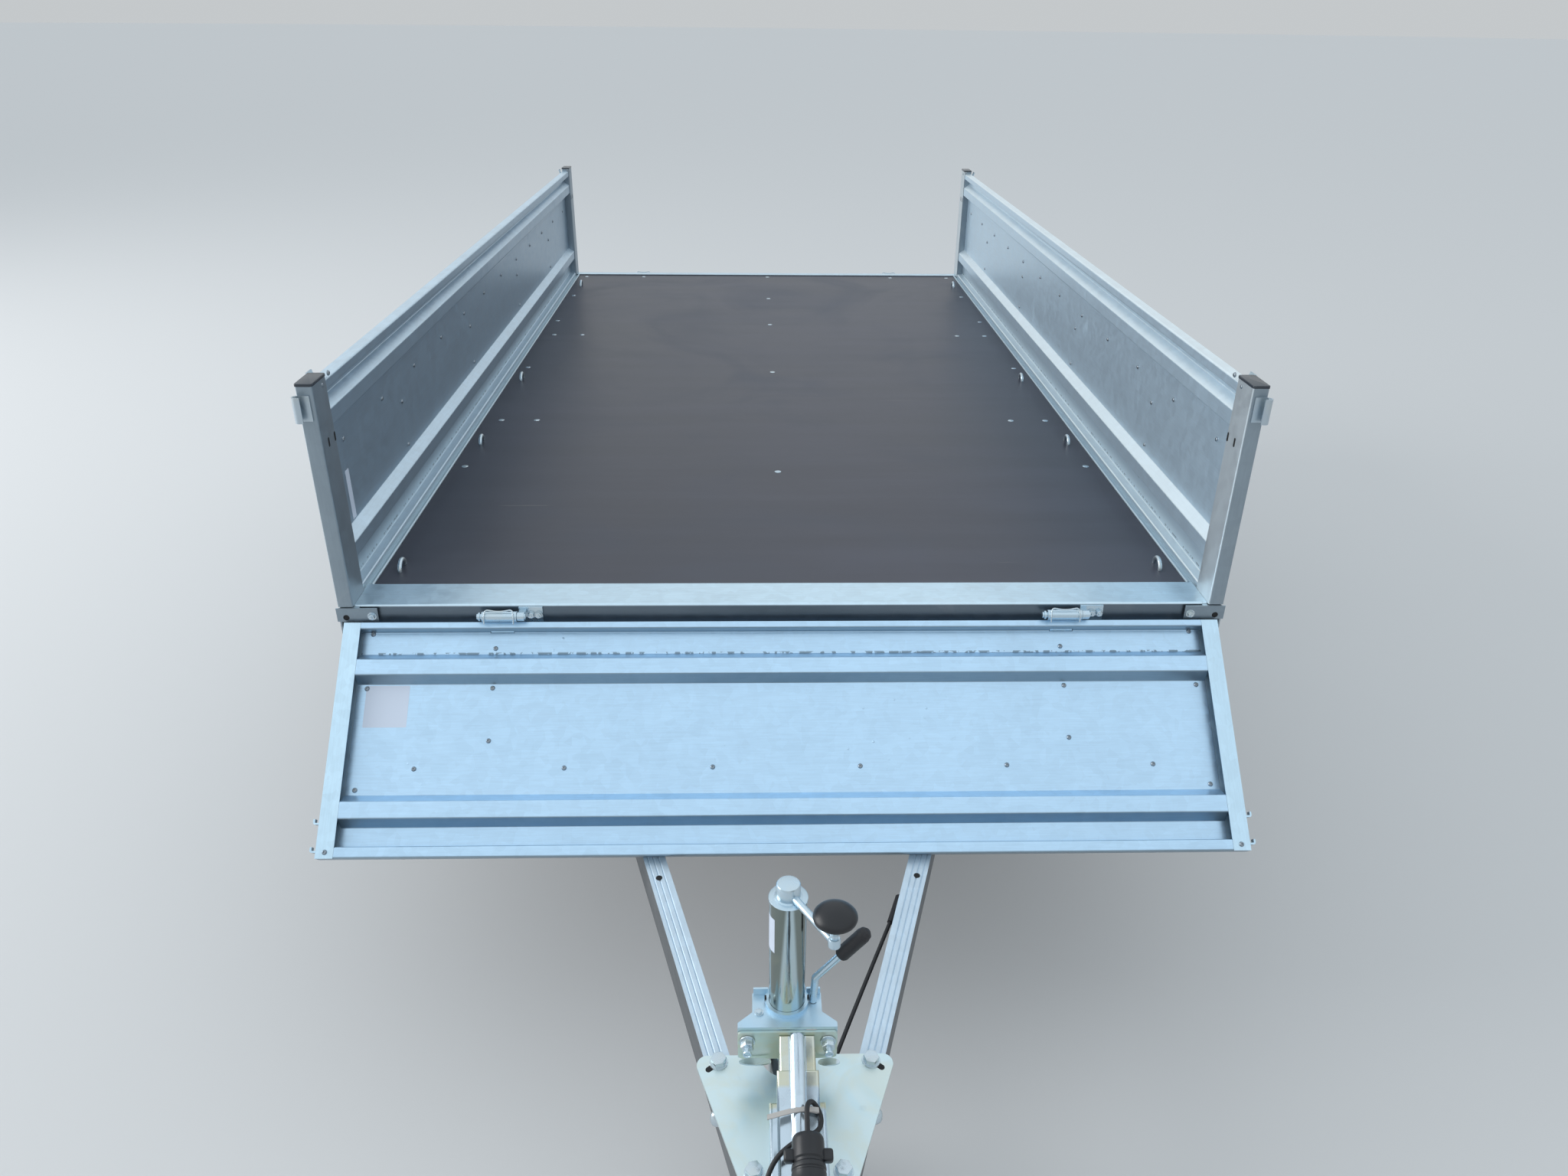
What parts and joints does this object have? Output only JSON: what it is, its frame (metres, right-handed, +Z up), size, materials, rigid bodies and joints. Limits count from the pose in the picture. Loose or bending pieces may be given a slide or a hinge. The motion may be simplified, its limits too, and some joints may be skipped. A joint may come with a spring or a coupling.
{
  "type": "utility trailer",
  "caption": "Flat utility trailer with pressed steel sides, drop-down front and tail boards, plywood floor, V drawbar, ball coupling, jockey wheel and road wheels under the bed.",
  "frame": {"origin": "on the ground, below the middle of the trailer, from coupling nose to tail board and from side to side", "axes": "+X across to the right seen from the drawbar, +Y along the bed to the tail board, +Z up; the drawbar points to -Y"},
  "size_m": [1.5696, 3.9814, 1.1473],
  "materials": {
    "black_plastic": "black moulded plastic",
    "cable_black": "black cable sheath",
    "galvanised": "hot-dip galvanised sheet, satin with fine spangle and run marks",
    "lamp_red": "red lens plastic",
    "plate_white": "blank white plate",
    "plywood": "dark brown phenolic film on birch plywood, fine satin texture",
    "reflector_orange": "orange reflector plastic",
    "rim_silver": "silver painted steel",
    "solid_rubber": "solid black rubber",
    "tyre": "black road tyre rubber",
    "zinc_bright": "bright bluish zinc plating",
    "zinc_yellow": "zinc plating with a faint yellow and green passivation"
  },
  "bodies": {
    "root": {"deck": "plywood", "corner_posts": "galvanised", "post_caps": "black_plastic", "side_boards": "galvanised", "fixed_hinges": "zinc_bright", "front_sill": "galvanised", "rear_sill": "galvanised", "side_rails": "galvanised", "cross_members": "galvanised", "main_beams": "galvanised", "drawbar_legs": "galvanised", "front_hangers": "galvanised", "rear_hangers": "galvanised", "drawbar_plate": "zinc_yellow", "coupling_body": "zinc_bright", "coupling_head": "zinc_bright", "coupling_handle": "zinc_bright", "jockey_bracket": "zinc_bright", "coupling_yoke": "zinc_yellow", "jockey_outer_tube": "zinc_bright", "jockey_crank": "zinc_bright", "crank_knob": "black_plastic", "clamp_lever": "zinc_bright", "clamp_grip": "black_plastic", "wiring_cable": "cable_black", "cable_boot": "black_plastic", "cable_plug": "black_plastic", "axle_beam": "galvanised", "axle_brackets": "galvanised", "swing_arms": "galvanised", "mudguards": "black_plastic", "mudguard_stays": "galvanised", "corner_plates": "galvanised", "keepers": "zinc_bright", "side_latches": "zinc_bright", "tie_loops": "zinc_bright", "side_board_hooks": "black_plastic", "rear_valance": "galvanised", "lamp_housings": "black_plastic", "number_plate": "plate_white", "lamp_lenses": "lamp_red", "side_reflectors": "reflector_orange"},
    "front_board": {"front_board": "galvanised", "front_board_straps": "zinc_bright", "front_board_frames": "galvanised", "front_board_hooks": "black_plastic"},
    "tail_board": {"tail_board": "galvanised", "tail_board_straps": "zinc_bright", "tail_board_frames": "galvanised", "tail_board_hooks": "black_plastic"},
    "wheel_left": {"hub_left": "rim_silver", "rim_left": "rim_silver", "tyre_left": "tyre"},
    "wheel_right": {"hub_right": "rim_silver", "rim_right": "rim_silver", "tyre_right": "tyre"},
    "jockey_leg": {"jockey_inner_tube": "zinc_bright"},
    "jockey_castor": {"jockey_fork": "zinc_bright"},
    "jockey_wheel": {"jockey_tyre": "solid_rubber", "jockey_hub": "rim_silver"}
  },
  "joints": [
    {"name": "front_board_hinge", "type": "hinge", "parent": "root", "child": "front_board", "pos_m": [0, -0.87905, 0.7365], "axis": [-1, 0, 0], "range_deg": [0, 133.2]},
    {"name": "tail_board_hinge", "type": "hinge", "parent": "root", "child": "tail_board", "pos_m": [0, 1.98075, 0.731], "axis": [1, 0, 0], "range_deg": [0, 180]},
    {"name": "wheel_left_spin", "type": "hinge", "parent": "root", "child": "wheel_left", "pos_m": [-0.648, 0.56075, 0.297], "axis": [1, 0, 0], "continuous": true},
    {"name": "wheel_right_spin", "type": "hinge", "parent": "root", "child": "wheel_right", "pos_m": [0.648, 0.56075, 0.297], "axis": [1, 0, 0], "continuous": true},
    {"name": "jockey_lift", "type": "slide", "parent": "root", "child": "jockey_leg", "axis": [0, 0, 1], "range_m": [-0.09, 0.06]},
    {"name": "jockey_swivel", "type": "hinge", "parent": "jockey_leg", "child": "jockey_castor", "pos_m": [-0.012, -1.51725, 0.1], "axis": [0, 0, 1], "continuous": true},
    {"name": "jockey_wheel_spin", "type": "hinge", "parent": "jockey_castor", "child": "jockey_wheel", "pos_m": [-0.012, -1.48225, 0.1], "axis": [1, 0, 0], "continuous": true}
  ]
}
